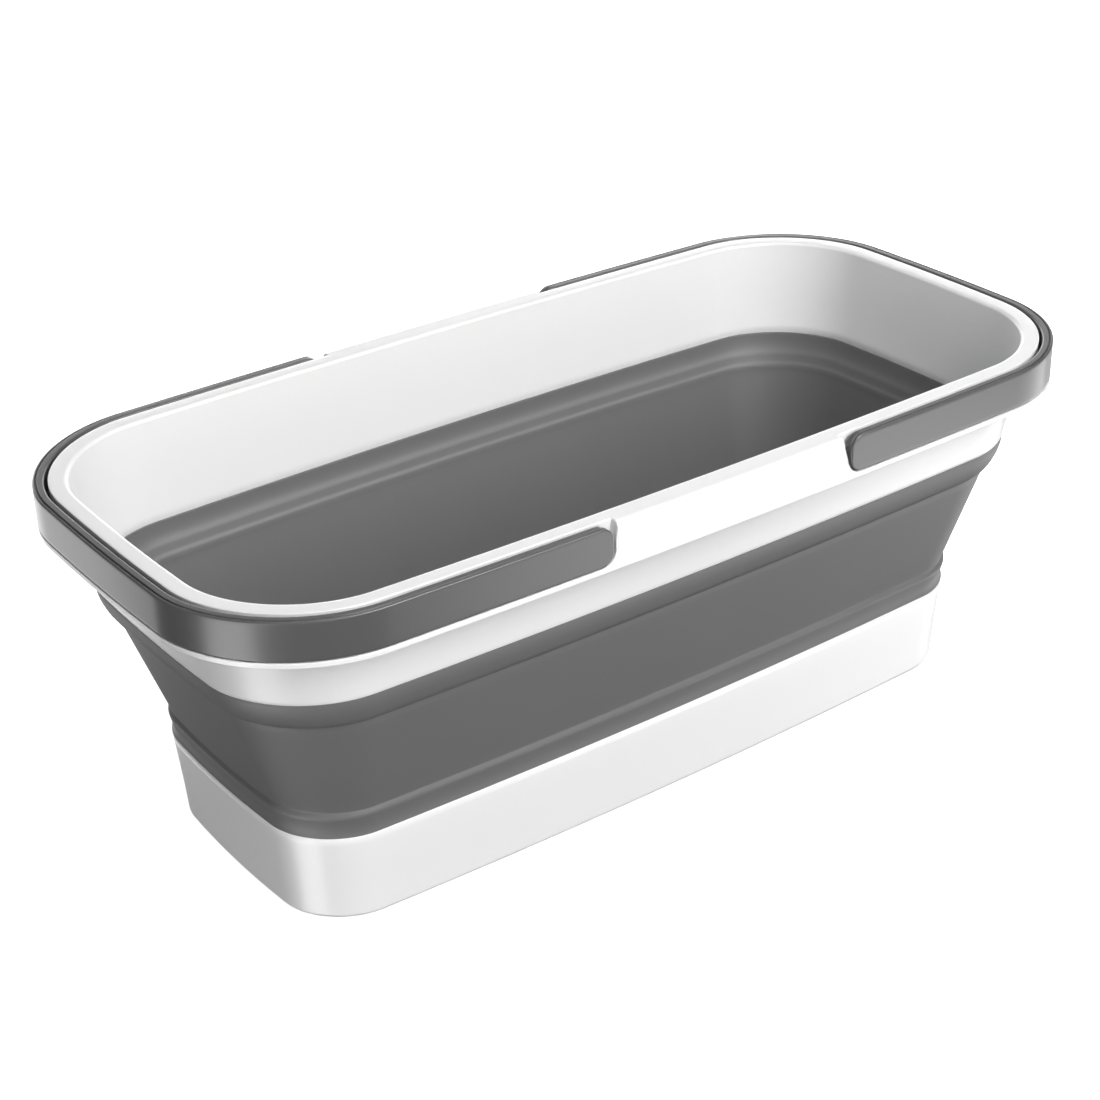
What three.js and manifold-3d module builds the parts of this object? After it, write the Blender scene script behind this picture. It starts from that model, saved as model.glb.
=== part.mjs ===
// Folding pet bathtub: a rigid base tray and a rigid rim joined by a soft wall that folds down
// between them, with two U-shaped handles that lie round the rim and swing up.
// Millimetres, +Z up. The origin is the middle of the footprint, on the ground. +X runs along
// the length of the tub and +Y across it.
import * as THREE from 'three';
import { mergeVertices } from 'three/addons/utils/BufferGeometryUtils.js';
import Module from 'manifold-3d';

const wasm = await Module();
wasm.setup();

// ---- Driving dimensions ----

const HALF_LENGTH = 245.5;      // outermost outline, without the bow of its sides
const HALF_WIDTH = 116.6;
const CORNER_RADIUS = 66.4;
const END_BOW = 4.5;            // how far the middle of each short end stands out
const SIDE_BOW = 5.2;           // how far the middle of each long side stands out
const FIT = 0.3;                // clearance between neighbouring pieces

const RIM_TOP = 183.7;
const LEDGE_BOTTOM = 162.2;
const LEDGE_TOP = 164.8;
const RIM_BOTTOM_OUTER = 131.7;
const RIM_BOTTOM_INNER = 133.3;
const LIP_INNER = 14.7;         // insets from the outermost outline
const LIP_OUTER = 6.6;
const RIM_FOOT_INNER = 21.6;
const RIM_FOOT_OUTER = 19.8;
const RIM_WALL = 2.2;           // moulded wall thickness

const HANDLE_THICKNESS = 5.0;
const HANDLE_BOTTOM = LEDGE_TOP + FIT;
const HANDLE_TOP = 183.6;
const HANDLE_TIP_X = 69.2;
const HANDLE_TIP_RADIUS = 7;
const PIVOT_X = 76.7;
const PIVOT_Z = (HANDLE_BOTTOM + HANDLE_TOP) / 2;
const BLOCK_HALF_LENGTH = 65.5;
const PIN_RADIUS = 3;
const PIN_HEAD_RADIUS = 5;
const PIN_HEAD_LENGTH = 1.6;

const BASE_TOP = 47.1;
const BASE_TOP_INSET = 40.6;
const BASE_FOOT_INSET = 43.5;
const BASE_WALL = 2.4;
const FLOOR_UNDERSIDE = 2.8;
const FLOOR_TOP = 5.2;
const FOOT_RING_Z = 0.8;
const PAD_RADIUS = 9;

const DRAIN_X = 150;
const DRAIN_HOLE_RADIUS = 17;

// ---- Outline and solid helpers ----

const CORNER_STEPS = 9;
const LONG_SIDE_STEPS = 10;
const SHORT_SIDE_STEPS = 4;

// Half length, half width and corner radius of the outline at an inset from the outermost one.
function outlineSize(inset) {
  const shallow = Math.min(inset, 20);
  const deep = Math.max(inset - 20, 0);
  const nearRim = Math.min(inset, 15);
  return {
    a: HALF_LENGTH - 1.03 * shallow - 1.2 * deep,
    b: HALF_WIDTH - inset,
    r: CORNER_RADIUS - 0.94 * nearRim - 0.77 * (inset - nearRim),
  };
}

// Closed anticlockwise outline: a rounded rectangle whose four sides bow outwards.
function outline(inset) {
  const { a, b, r } = outlineSize(inset);
  const quarter = [];
  for (let i = 0; i < SHORT_SIDE_STEPS / 2; i++) {
    quarter.push([a, ((b - r) * 2 * i) / SHORT_SIDE_STEPS]);
  }
  for (let i = 0; i <= CORNER_STEPS; i++) {
    const angle = (Math.PI / 2) * (i / CORNER_STEPS);
    quarter.push([a - r + r * Math.cos(angle), b - r + r * Math.sin(angle)]);
  }
  for (let i = 1; i < LONG_SIDE_STEPS / 2; i++) {
    quarter.push([(a - r) * (1 - (2 * i) / LONG_SIDE_STEPS), b]);
  }
  const turned = quarter.map(([x, y]) => [-x, -y]);
  const mirrored = quarter.slice(1).reverse().map(([x, y]) => [-x, y]);
  const opposite = mirrored.map(([x, y]) => [-x, -y]);
  const ring = [...quarter, [0, b], ...mirrored, ...turned, [0, -b], ...opposite];
  return ring.map(([x, y]) => [
    x + END_BOW * (1 - (y / b) ** 2) * (x / a),
    y + SIDE_BOW * (1 - (x / a) ** 2) * (y / b),
  ]);
}

// Side of the outline at one x: the y of its long side, bow included.
function sideY(inset, x) {
  const { a, b } = outlineSize(inset);
  return b + SIDE_BOW * (1 - (x / a) ** 2);
}

// Arc points in a section, from one angle to another in degrees.
function arc(centreInset, centreZ, radius, from, to, steps) {
  return Array.from({ length: steps + 1 }, (_, i) => {
    const angle = THREE.MathUtils.degToRad(from + ((to - from) * i) / steps);
    return [centreInset + radius * Math.cos(angle), centreZ + radius * Math.sin(angle)];
  });
}

// Indexed geometry with its faces turned outwards, by the sign of its volume.
function outwardGeometry(vertices, triangles) {
  const at = (i) => new THREE.Vector3(...vertices.slice(3 * i, 3 * i + 3));
  let volume = 0;
  for (let i = 0; i < triangles.length; i += 3) {
    const [p, q, s] = triangles.slice(i, i + 3).map(at);
    volume += p.dot(q.cross(s));
  }
  const faces = volume > 0 ? triangles : [...triangles].reverse();
  const geometry = new THREE.BufferGeometry();
  geometry.setAttribute('position', new THREE.Float32BufferAttribute(vertices, 3));
  geometry.setIndex(faces);
  return geometry;
}

// Band of quads between rings of equal length, as triangles.
function ringQuads(ringA, ringB, count) {
  const triangles = [];
  for (let i = 0; i < count; i++) {
    const j = (i + 1) % count;
    triangles.push(ringA + i, ringA + j, ringB + j, ringA + i, ringB + j, ringB + i);
  }
  return triangles;
}

// A closed section of [inset, z] points carried round the outline.
function hoop(section) {
  const rings = section.map(([inset, z]) => outline(inset).map(([x, y]) => [x, y, z]));
  const count = rings[0].length;
  const triangles = rings.flatMap((_, k) => ringQuads(k * count, ((k + 1) % rings.length) * count, count));
  return outwardGeometry(rings.flat(2), triangles);
}

// An open run of [inset, z] points carried round the outline and closed by two flat ends.
function tray(run) {
  const rings = run.map(([inset, z]) => outline(inset).map(([x, y]) => [x, y, z]));
  const count = rings[0].length;
  const last = rings.length - 1;
  const vertices = rings.flat(2);
  const triangles = rings.slice(1).flatMap((_, k) => ringQuads(k * count, (k + 1) * count, count));
  for (const [ring, z, flip] of [[0, run[0][1], true], [last, run[last][1], false]]) {
    const centre = vertices.length / 3;
    vertices.push(0, 0, z);
    for (let i = 0; i < count; i++) {
      const [p, q] = [ring * count + i, ring * count + ((i + 1) % count)];
      triangles.push(...(flip ? [centre, q, p] : [centre, p, q]));
    }
  }
  return outwardGeometry(vertices, triangles);
}

// Turned solid from a closed or axis-to-axis profile of [radius, z] points, about +Z.
function turned(profile, segments = 32) {
  const geometry = new THREE.LatheGeometry(profile.map(([r, z]) => new THREE.Vector2(r, z)), segments);
  return geometry.rotateX(Math.PI / 2);
}

function cylinder(radius, bottom, top, segments = 32) {
  return turned([[0, bottom], [radius, bottom], [radius, top], [0, top]], segments);
}

// Plate drawn in the XZ plane and reaching from -Y to +Y.
function plateAcross(shape, reach) {
  const geometry = new THREE.ExtrudeGeometry(shape, { depth: 2 * reach, bevelEnabled: false, curveSegments: 8 });
  return geometry.rotateX(Math.PI / 2).translate(0, reach, 0);
}

function toSolid(geometry) {
  const bare = geometry.clone();
  bare.deleteAttribute('normal');
  bare.deleteAttribute('uv');
  const merged = mergeVertices(bare, 1e-4);
  const index = merged.getIndex().array;
  const kept = [];
  for (let i = 0; i < index.length; i += 3) {
    const [p, q, s] = [index[i], index[i + 1], index[i + 2]];
    if (p !== q && q !== s && s !== p) kept.push(p, q, s);
  }
  const mesh = new wasm.Mesh({
    numProp: 3,
    vertProperties: new Float32Array(merged.getAttribute('position').array),
    triVerts: new Uint32Array(kept),
  });
  return new wasm.Manifold(mesh);
}

function toGeometry(solid) {
  const mesh = solid.getMesh();
  const geometry = new THREE.BufferGeometry();
  geometry.setAttribute('position', new THREE.BufferAttribute(new Float32Array(mesh.vertProperties), 3));
  geometry.setIndex(new THREE.BufferAttribute(new Uint32Array(mesh.triVerts), 1));
  return geometry;
}

// ---- Base tray ----

function baseTray() {
  const innerTop = BASE_TOP_INSET + BASE_WALL;
  const innerFoot = BASE_FOOT_INSET + BASE_WALL;
  const wall = tray([
    [BASE_FOOT_INSET + 10.5, FLOOR_UNDERSIDE],
    [BASE_FOOT_INSET + 9, FLOOR_UNDERSIDE],
    [BASE_FOOT_INSET + 7.5, FOOT_RING_Z],
    ...arc(BASE_FOOT_INSET + 2.5, FOOT_RING_Z + 2.5, 2.5, 270, 180, 4),
    [BASE_TOP_INSET, BASE_TOP],
    [innerTop, BASE_TOP],
    ...arc(innerFoot + 8, FLOOR_TOP + 8, 8, 180, 270, 6),
    [innerFoot + 9.5, FLOOR_TOP],
  ]);
  const drain = cylinder(DRAIN_HOLE_RADIUS, -5, 20).translate(DRAIN_X, 0, 0);
  return toGeometry(toSolid(wall).subtract(toSolid(drain)));
}

function drainSeal() {
  const neck = DRAIN_HOLE_RADIUS - FIT;
  const bore = neck - 1.6;
  const profile = [
    [bore, 1.2],
    [neck + 3, 1.2],
    [neck + 3, FLOOR_UNDERSIDE - FIT],
    [neck, FLOOR_UNDERSIDE - FIT],
    [neck, FLOOR_TOP + FIT],
    [neck + 4, FLOOR_TOP + FIT],
    [neck + 3.4, FLOOR_TOP + 1.5],
    [bore, FLOOR_TOP + 1.5],
    [bore, 1.2],
  ];
  return turned(profile);
}

function drainPlug() {
  const stem = DRAIN_HOLE_RADIUS - 2 * FIT - 1.6;
  const seat = FLOOR_TOP + 1.5 + FIT;
  const stopper = turned([
    [0, 1.6],
    [stem - 0.8, 1.6],
    [stem, 3.2],
    [stem, seat],
    [stem + 4.6, seat],
    [stem + 4.2, seat + 1.6],
    [8, seat + 2],
    [0, seat + 2],
  ]);
  const grip = new THREE.Shape();
  grip.moveTo(-8, seat + 1);
  grip.lineTo(8, seat + 1);
  grip.lineTo(6, seat + 6);
  grip.lineTo(-6, seat + 6);
  const tab = plateAcross(grip, 1.5);
  return toGeometry(toSolid(stopper).add(toSolid(tab)));
}

function footPad() {
  return turned([
    [0, 0],
    [PAD_RADIUS - 1, 0],
    [PAD_RADIUS, 1],
    [PAD_RADIUS, FLOOR_UNDERSIDE - FIT],
    [0, FLOOR_UNDERSIDE - FIT],
  ], 20);
}

// ---- Folding wall ----

// Outer skin of the wall from the rim down to the base, as [inset, z].
const WALL_OUTSIDE = [
  [RIM_FOOT_OUTER, RIM_BOTTOM_OUTER - FIT],
  [20.4, 127.5],
  [21.9, 122.8],
  [23.7, 118.8],
  [25.3, 115.8],
  [41.2, 58.9],
  [40.2, 56.6],
  [39.9, 53.5],
  [40.2, 50],
  [BASE_TOP_INSET, BASE_TOP + FIT],
];

function foldingWall() {
  const thickness = [1.8, 2.2, 2.3, 2.4, 1.6, 1.6, 2.6, 2.9, 2.7, BASE_WALL];
  const inside = WALL_OUTSIDE.map(([inset, z], i) => [inset + thickness[i], z]);
  inside[0][1] = RIM_BOTTOM_INNER - FIT;
  return hoop([...WALL_OUTSIDE, ...inside.reverse()]);
}

// ---- Rim ----

// Inverted channel: inner wall, flat lip and the short outer wall that backs the handles.
function rimChannel() {
  const wallTop = LIP_INNER - RIM_WALL * 0.9;
  return hoop([
    [RIM_FOOT_OUTER, RIM_BOTTOM_OUTER],
    [RIM_FOOT_INNER, RIM_BOTTOM_INNER],
    [LIP_INNER + 0.5, RIM_TOP - 3],
    ...arc(LIP_INNER - 1.6, RIM_TOP - 2, 2, 0, 90, 3),
    [LIP_OUTER, RIM_TOP],
    [LIP_OUTER, LEDGE_BOTTOM],
    [LIP_OUTER + RIM_WALL, LEDGE_BOTTOM],
    [LIP_OUTER + RIM_WALL, RIM_TOP - RIM_WALL],
    [wallTop, RIM_TOP - RIM_WALL],
    [wallTop + 2.2, LEDGE_BOTTOM],
  ]);
}

// Outline of the recess that one handle lies in, in the XZ plane, towards -X.
function recessShape() {
  const radius = 8;
  const shape = new THREE.Shape();
  shape.moveTo(-300, LEDGE_TOP);
  shape.lineTo(-BLOCK_HALF_LENGTH - radius, LEDGE_TOP);
  shape.absarc(-BLOCK_HALF_LENGTH - radius, LEDGE_TOP + radius, radius, -Math.PI / 2, 0, false);
  shape.lineTo(-BLOCK_HALF_LENGTH, RIM_TOP + 10);
  shape.lineTo(-300, RIM_TOP + 10);
  return shape;
}

// Ledge under the handles and the hollow block between their tips, on both long sides.
function ledgeAndBlocks() {
  const outer = toSolid(hoop([
    [LIP_OUTER + 1, LEDGE_BOTTOM],
    [0, LEDGE_BOTTOM],
    [0, LEDGE_TOP + 0.5],
    [1.7, RIM_TOP - 3.2],
    ...arc(4.7, RIM_TOP - 3, 3, 170, 90, 4),
    [LIP_OUTER + 1, RIM_TOP],
  ]));
  const pocketHoop = toSolid(hoop([
    [LIP_OUTER, LEDGE_BOTTOM - 5],
    [2, LEDGE_BOTTOM - 5],
    [2, LEDGE_TOP],
    [4.2, RIM_TOP - RIM_WALL],
    [LIP_OUTER, RIM_TOP - RIM_WALL],
  ]));
  const pocketLength = 2 * (BLOCK_HALF_LENGTH - 11);
  const pocket = pocketHoop.intersect(toSolid(new THREE.BoxGeometry(pocketLength, 300, 500)));
  const recess = toSolid(plateAcross(recessShape(), 150));
  const oppositeRecess = toSolid(plateAcross(recessShape(), 150).rotateZ(Math.PI));
  return outer.subtract(recess).subtract(oppositeRecess).subtract(pocket);
}

// The four pivots: which handle (-1 left, +1 right) and which side (-1 front, +1 back).
const PIVOTS = [[-1, -1, 'left_front'], [-1, 1, 'left_back'], [1, -1, 'right_front'], [1, 1, 'right_back']];

// Solid of revolution about a pivot, its profile given as [radius, y] on the back side.
function aboutPivot(profile, end, side) {
  const geometry = turned(profile, 24).rotateX(-Math.PI / 2);
  if (side < 0) geometry.rotateX(Math.PI);
  return geometry.translate(end * PIVOT_X, 0, PIVOT_Z);
}

function boreProfile(radius, from, to) {
  return [[0, from], [radius, from], [radius, to], [0, to]];
}

function rim() {
  let solid = toSolid(rimChannel()).add(ledgeAndBlocks());
  for (const [end, side] of PIVOTS) {
    const from = sideY(LIP_OUTER + RIM_WALL, PIVOT_X) - 1.5;
    const to = sideY(LIP_OUTER, PIVOT_X) + 1.5;
    const hole = boreProfile(PIN_RADIUS + FIT, from, to);
    solid = solid.subtract(toSolid(aboutPivot(hole, end, side)));
  }
  return toGeometry(solid);
}

// ---- Handles and their pins ----

const BORE_END = sideY(0, PIVOT_X) - 1.4;

// U-shaped band: the outermost strip of the outline, cut to length with rounded tips.
function handle(end) {
  const edge = 0.6;
  const band = toSolid(hoop([
    [0, HANDLE_BOTTOM + edge],
    [0, HANDLE_TOP - edge],
    [edge, HANDLE_TOP],
    [HANDLE_THICKNESS - edge, HANDLE_TOP],
    [HANDLE_THICKNESS, HANDLE_TOP - edge],
    [HANDLE_THICKNESS, HANDLE_BOTTOM + edge],
    [HANDLE_THICKNESS - edge, HANDLE_BOTTOM],
    [edge, HANDLE_BOTTOM],
  ]));
  const radius = HANDLE_TIP_RADIUS;
  const tip = new THREE.Shape();
  tip.moveTo(-300, HANDLE_BOTTOM - 5);
  tip.lineTo(-HANDLE_TIP_X - radius, HANDLE_BOTTOM - 5);
  tip.lineTo(-HANDLE_TIP_X - radius, HANDLE_BOTTOM);
  tip.absarc(-HANDLE_TIP_X - radius, HANDLE_BOTTOM + radius, radius, -Math.PI / 2, 0, false);
  tip.absarc(-HANDLE_TIP_X - radius, HANDLE_TOP - radius, radius, 0, Math.PI / 2, false);
  tip.lineTo(-HANDLE_TIP_X - radius, HANDLE_TOP + 5);
  tip.lineTo(-300, HANDLE_TOP + 5);
  const cutter = plateAcross(tip, 150);
  if (end > 0) cutter.rotateZ(Math.PI);
  let solid = band.intersect(toSolid(cutter));
  for (const side of [-1, 1]) {
    const bore = boreProfile(PIN_RADIUS + FIT, sideY(LIP_OUTER, PIVOT_X), BORE_END);
    solid = solid.subtract(toSolid(aboutPivot(bore, end, side)));
  }
  return toGeometry(solid);
}

// Headed pin pushed outwards from inside the rim channel into the blind bore of the handle.
function pivotPin(end, side) {
  const headOuter = sideY(LIP_OUTER + RIM_WALL, PIVOT_X) - FIT - 0.1;
  const pinEnd = BORE_END - FIT;
  const profile = [
    [0, headOuter - PIN_HEAD_LENGTH],
    [PIN_HEAD_RADIUS, headOuter - PIN_HEAD_LENGTH],
    [PIN_HEAD_RADIUS, headOuter],
    [PIN_RADIUS, headOuter],
    [PIN_RADIUS, pinEnd - 0.6],
    [PIN_RADIUS - 0.6, pinEnd],
    [0, pinEnd],
  ];
  return aboutPivot(profile, end, side);
}

// ---- Materials and scene graph ----

const whitePlastic = new THREE.MeshStandardMaterial({ color: '#eeeeec', roughness: 0.35, metalness: 0 });
const greyPlastic = new THREE.MeshStandardMaterial({ color: '#77787a', roughness: 0.4, metalness: 0 });
const softWall = new THREE.MeshStandardMaterial({ color: '#5c5d5f', roughness: 0.6, metalness: 0 });
const softTrim = new THREE.MeshStandardMaterial({ color: '#5c5d5f', roughness: 0.7, metalness: 0 });
const pinPlastic = new THREE.MeshStandardMaterial({ color: '#d8d8d5', roughness: 0.4, metalness: 0 });

const bathtub = new THREE.Group();

function place(name, geometry, material, position = [0, 0, 0]) {
  const mesh = new THREE.Mesh(geometry, material);
  mesh.name = name;
  mesh.position.set(...position);
  bathtub.add(mesh);
}

place('base_tray', baseTray(), whitePlastic);
place('folding_wall', foldingWall(), softWall);
place('rim', rim(), whitePlastic);
place('left_handle', handle(-1), greyPlastic);
place('right_handle', handle(1), greyPlastic);
for (const [end, side, where] of PIVOTS) {
  place(`pivot_pin_${where}`, pivotPin(end, side), pinPlastic);
}
place('drain_seal', drainSeal(), softTrim, [DRAIN_X, 0, 0]);
place('drain_plug', drainPlug(), softTrim, [DRAIN_X, 0, 0]);
for (const [end, side, where] of PIVOTS) {
  place(`foot_pad_${where}`, footPad(), softTrim, [end * 155, side * 42, 0]);
}

export default bathtub;
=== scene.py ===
"""Folding pet bathtub: the looks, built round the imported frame.

Every hoop-shaped piece is a section of (inset, height) points carried round one rounded outline
whose four sides bow slightly outwards. Lengths are in metres, +Z up, and every piece is built
where it belongs, so its object stays at the origin.
"""

import math

import bpy
import numpy as np
from mathutils import Matrix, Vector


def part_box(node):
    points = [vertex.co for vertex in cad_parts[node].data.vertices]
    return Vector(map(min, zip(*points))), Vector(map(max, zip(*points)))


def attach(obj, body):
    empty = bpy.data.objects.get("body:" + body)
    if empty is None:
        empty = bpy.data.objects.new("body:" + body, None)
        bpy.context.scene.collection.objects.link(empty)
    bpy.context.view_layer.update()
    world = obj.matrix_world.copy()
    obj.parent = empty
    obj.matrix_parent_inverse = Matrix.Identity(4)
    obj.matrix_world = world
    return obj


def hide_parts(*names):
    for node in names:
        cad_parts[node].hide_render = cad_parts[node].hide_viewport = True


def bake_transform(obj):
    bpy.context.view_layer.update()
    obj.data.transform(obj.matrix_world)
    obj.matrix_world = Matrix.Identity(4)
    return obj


bl_info = {
    "name": "Folding Pet Bathtub",
    "version": (1, 0, 0),
    "blender": (4, 5, 0),
    "location": "3D View > Sidebar > Bathtub",
    "description": "Builds a folding pet bathtub with two swing-up handles",
    "category": "Add Mesh",
}

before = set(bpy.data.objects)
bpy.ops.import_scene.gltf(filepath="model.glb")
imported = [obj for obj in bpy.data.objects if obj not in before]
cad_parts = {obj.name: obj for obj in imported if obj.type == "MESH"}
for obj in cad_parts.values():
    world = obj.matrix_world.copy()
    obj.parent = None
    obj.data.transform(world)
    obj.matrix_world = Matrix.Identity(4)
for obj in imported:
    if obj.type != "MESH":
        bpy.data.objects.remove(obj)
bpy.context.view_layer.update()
rim_low, rim_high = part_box("rim")
base_low, base_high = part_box("base_tray")
handle_low, handle_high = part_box("left_handle")
pin_low, pin_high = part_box("pivot_pin_left_back")
pad_low, pad_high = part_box("foot_pad_left_back")
seal_low, seal_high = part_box("drain_seal")
plug_low, plug_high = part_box("drain_plug")

MM = 0.001

# ---- Colours ----


def linear(hex_colour):
    """An sRGB hex colour as linear red, green, blue and full alpha."""
    channels = np.array([int(hex_colour[i : i + 2], 16) for i in (1, 3, 5)]) / 255
    low = channels / 12.92
    high = ((channels + 0.055) / 1.055) ** 2.4
    return (*np.where(channels <= 0.04045, low, high).tolist(), 1.0)


# ---- Sizes and colours that a user would change ----


class BathtubShape(bpy.types.PropertyGroup):
    """Sizes of the tub that its frame doesn't fix by itself"""

    end_bow: bpy.props.FloatProperty(
        name="End bow",
        description="How far the middle of each short end stands out",
        default=4.5 * MM,
        min=0.0,
        unit="LENGTH",
    )
    side_bow: bpy.props.FloatProperty(
        name="Side bow",
        description="How far the middle of each long side stands out",
        default=5.2 * MM,
        min=0.0,
        unit="LENGTH",
    )
    corner_radius: bpy.props.FloatProperty(
        name="Corner radius",
        description="Radius of the outermost outline's corners",
        default=66.4 * MM,
        min=0.0,
        unit="LENGTH",
    )
    lip_outer: bpy.props.FloatProperty(
        name="Lip outer inset",
        description="From the outermost outline to the wall behind the handles",
        default=6.6 * MM,
        unit="LENGTH",
    )
    lip_inner: bpy.props.FloatProperty(
        name="Lip inner inset",
        description="From the outermost outline to the inner edge of the lip",
        default=14.7 * MM,
        unit="LENGTH",
    )
    wall: bpy.props.FloatProperty(
        name="Moulded wall",
        description="Wall thickness of the rigid mouldings",
        default=2.2 * MM,
        unit="LENGTH",
    )
    handle_thickness: bpy.props.FloatProperty(
        name="Handle thickness",
        description="Thickness of the handle's band",
        default=5.0 * MM,
        unit="LENGTH",
    )


class BathtubFinish(bpy.types.PropertyGroup):
    """Colours and roughness of the tub's materials"""

    white: bpy.props.FloatVectorProperty(
        name="White plastic",
        description="Colour of the rim and the base tray",
        default=linear("#f0f0f0"),
        size=4,
        min=0.0,
        max=1.0,
        subtype="COLOR",
    )
    grey: bpy.props.FloatVectorProperty(
        name="Grey plastic",
        description="Colour of the handles",
        default=linear("#585858"),
        size=4,
        min=0.0,
        max=1.0,
        subtype="COLOR",
    )
    soft_grey: bpy.props.FloatVectorProperty(
        name="Soft wall",
        description="Colour of the folding wall",
        default=linear("#6a6a6a"),
        size=4,
        min=0.0,
        max=1.0,
        subtype="COLOR",
    )
    gloss: bpy.props.FloatProperty(
        name="White roughness",
        description="Roughness of the white plastic",
        default=0.3,
        min=0.0,
        max=1.0,
        subtype="FACTOR",
    )


def shape():
    """The scene's tub sizes."""
    return bpy.context.scene.bathtub_shape


def finish():
    """The scene's tub colours and roughness."""
    return bpy.context.scene.bathtub_finish


# ---- The outline and the surfaces carried round it ----


def outline_size(inset):
    """Half length, half width and corner radius at an inset from the outermost outline.

    The length shrinks 1.03 times the inset down to 20 mm and 1.2 times beyond it, the width
    shrinks by the inset, and the corner radius by 0.94 times it down to 15 mm and 0.77 beyond.
    """
    s = shape()
    shallow = np.minimum(inset, 20 * MM)
    near_rim = np.minimum(inset, 15 * MM)
    half_length = rim_high.x - s.end_bow - 1.03 * shallow - 1.2 * (inset - shallow)
    half_width = rim_high.y - s.side_bow - inset
    radius = s.corner_radius - 0.94 * near_rim - 0.77 * (inset - near_rim)
    return half_length, half_width, radius


def outline(inset, station):
    """Points x, y of the outline at an inset, for stations (along, across, angle).

    A station says how far along the straight part of a long side (-1 to 1) and of a short end
    (-1 to 1) the corner circle's centre has moved, and the angle on that circle. Each side then
    moves out by its bow times one minus the square of its place along that side.
    """
    a, b, r = outline_size(inset)
    along, across, angle = station
    x = (a - r) * along + r * np.cos(angle)
    y = (b - r) * across + r * np.sin(angle)
    s = shape()
    bowed_x = x + s.end_bow * (1 - (y / b) ** 2) * x / a
    bowed_y = y + s.side_bow * (1 - (x / a) ** 2) * y / b
    return bowed_x, bowed_y


def quarter_stations(side_steps, corner_steps, end_steps):
    """Stations of the quarter from the middle of the back side (+Y) to the middle of the +X end."""
    side = np.linspace(0, 1, side_steps, endpoint=False)
    corner = np.linspace(np.pi / 2, 0, corner_steps, endpoint=False)
    end = np.linspace(1, 0, end_steps + 1)
    along = np.concatenate([side, np.ones(corner_steps + end_steps + 1)])
    across = np.concatenate([np.ones(side_steps + corner_steps), end])
    angle = np.concatenate([np.full(side_steps, np.pi / 2), corner, np.zeros(end_steps + 1)])
    return along, across, angle


def mirrored_round(quarter, *values):
    """A quarter's stations, and values that go with them, repeated round all four quarters.

    The quarter is mirrored about the X axis, then both about the Y axis, and the stations that
    fall on an axis are kept once.
    """
    along, across, angle = quarter
    back = slice(-2, None, -1)
    half = (
        np.concatenate([along, along[back]]),
        np.concatenate([across, -across[back]]),
        np.concatenate([angle, -angle[back]]),
    )
    inner = slice(-2, 0, -1)
    full = (
        np.concatenate([half[0], -half[0][inner]]),
        np.concatenate([half[1], half[1][inner]]),
        np.concatenate([half[2], np.pi - half[2][inner]]),
    )
    spread = []
    for value in values:
        two = np.concatenate([value, value[back]])
        spread.append(np.concatenate([two, two[inner]]))
    return (full, *spread)


def arc(inset, height, radius, start, end, steps):
    """Section points on a circle, from one angle to another in degrees, 0 pointing inwards."""
    angle = np.radians(np.linspace(start, end, steps + 1))
    return np.stack([inset + radius * np.cos(angle), height + radius * np.sin(angle)], axis=1)


def line(start, end, steps):
    """Section points evenly along a straight line, its end left out."""
    return np.linspace(start, end, steps, endpoint=False)


def curve_through(points, steps):
    """Section points on a smooth curve through a few given ones.

    Each stretch is a Catmull-Rom cubic, whose slope at a point is half the step between that
    point's two neighbours.
    """
    p = np.asarray(points, float)
    p = np.concatenate([[2 * p[0] - p[1]], p, [2 * p[-1] - p[-2]]])
    t = np.linspace(0, 1, steps, endpoint=False)[None, :, None]
    p0, p1, p2, p3 = (p[i : len(p) - 3 + i, None] for i in range(4))
    cubic = 0.5 * (
        2 * p1
        + (p2 - p0) * t
        + (2 * p0 - 5 * p1 + 4 * p2 - p3) * t**2
        + (3 * p1 - p0 - 3 * p2 + p3) * t**3
    )
    return np.concatenate([cubic.reshape(-1, 2), p[-2:-1]])


def hoop(section, station):
    """Rings of a section of (inset, height) points carried round the outline: ring, point, xyz."""
    section = np.asarray(section)
    x, y = outline(section[:, 0, None], station)
    z = np.broadcast_to(section[:, 1, None], x.shape)
    return np.stack([x, y, z], axis=-1)


def turned(profile, centre, segments=64):
    """Rings of a profile of (radius, height) points turned about a vertical line at centre."""
    profile = np.asarray(profile)
    angle = np.linspace(0, 2 * np.pi, segments, endpoint=False)
    x = centre[0] + profile[:, 0, None] * np.cos(angle)
    y = centre[1] + profile[:, 0, None] * np.sin(angle)
    z = np.broadcast_to(profile[:, 1, None], x.shape)
    return np.stack([x, y, z], axis=-1)


def ring_faces(rings, points, closed):
    """Quads between neighbouring rings, and from the last to the first if the path is closed."""
    ring = np.arange(rings if closed else rings - 1)[:, None]
    point = np.arange(points)[None, :]
    following = (point + 1) % points
    above = (ring + 1) % rings
    quads = [ring * points + point, ring * points + following]
    quads += [above * points + following, above * points + point]
    return np.stack(np.broadcast_arrays(*quads), axis=-1).reshape(-1, 4)


def signed_volume(vertices, faces):
    """Volume inside the faces by the divergence theorem: positive when they point outwards."""
    first = vertices[faces[:, 0]]
    volume = 0.0
    for k in range(1, faces.shape[1] - 1):
        cross = np.cross(vertices[faces[:, k]], vertices[faces[:, k + 1]])
        volume += np.einsum("ij,ij->", first, cross)
    return volume


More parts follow.
